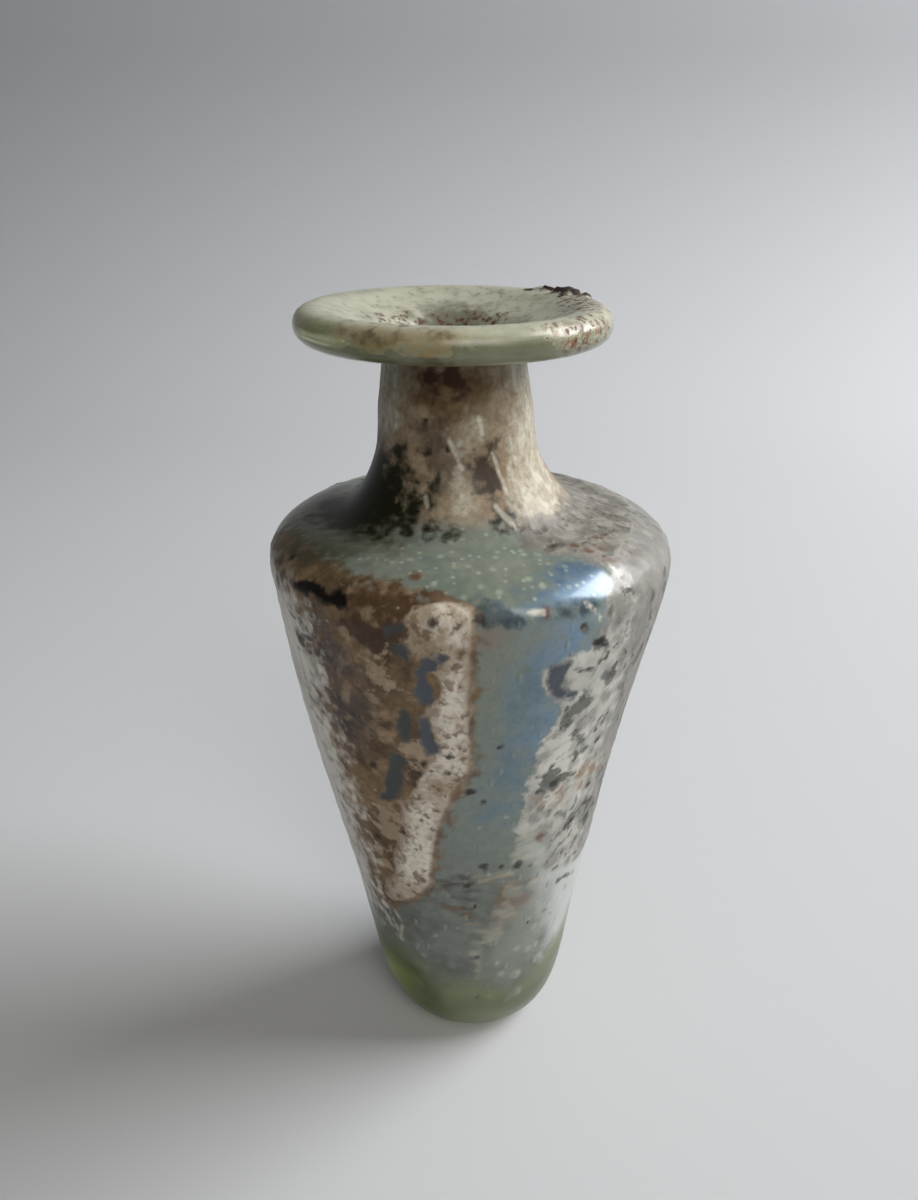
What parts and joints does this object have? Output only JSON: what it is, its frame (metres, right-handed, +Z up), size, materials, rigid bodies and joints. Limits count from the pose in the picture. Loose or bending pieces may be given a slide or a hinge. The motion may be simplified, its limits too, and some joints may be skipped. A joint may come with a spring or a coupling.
{
  "type": "glass perfume flask",
  "caption": "Blown-glass perfume flask: tapering body with a rounded base, sloping shoulder, short neck and dished disc rim; hollow, open and leaning a little to one side.",
  "frame": {"origin": "centre of the flat spot under the rounded base, on the surface that the flask stands on", "axes": "+Z up through the neck, +X to the right as the picture shows it, and -Y towards the viewer; the rim lies 2.6 mm towards -X of the foot"},
  "size_m": [0.0474, 0.0474, 0.098],
  "materials": {
    "weathered_glass": "pale green blown glass under grey-white and buff weathering crust, with patches of iridescent blue film"
  },
  "bodies": {
    "root": {"flask": "weathered_glass"}
  },
  "joints": []
}
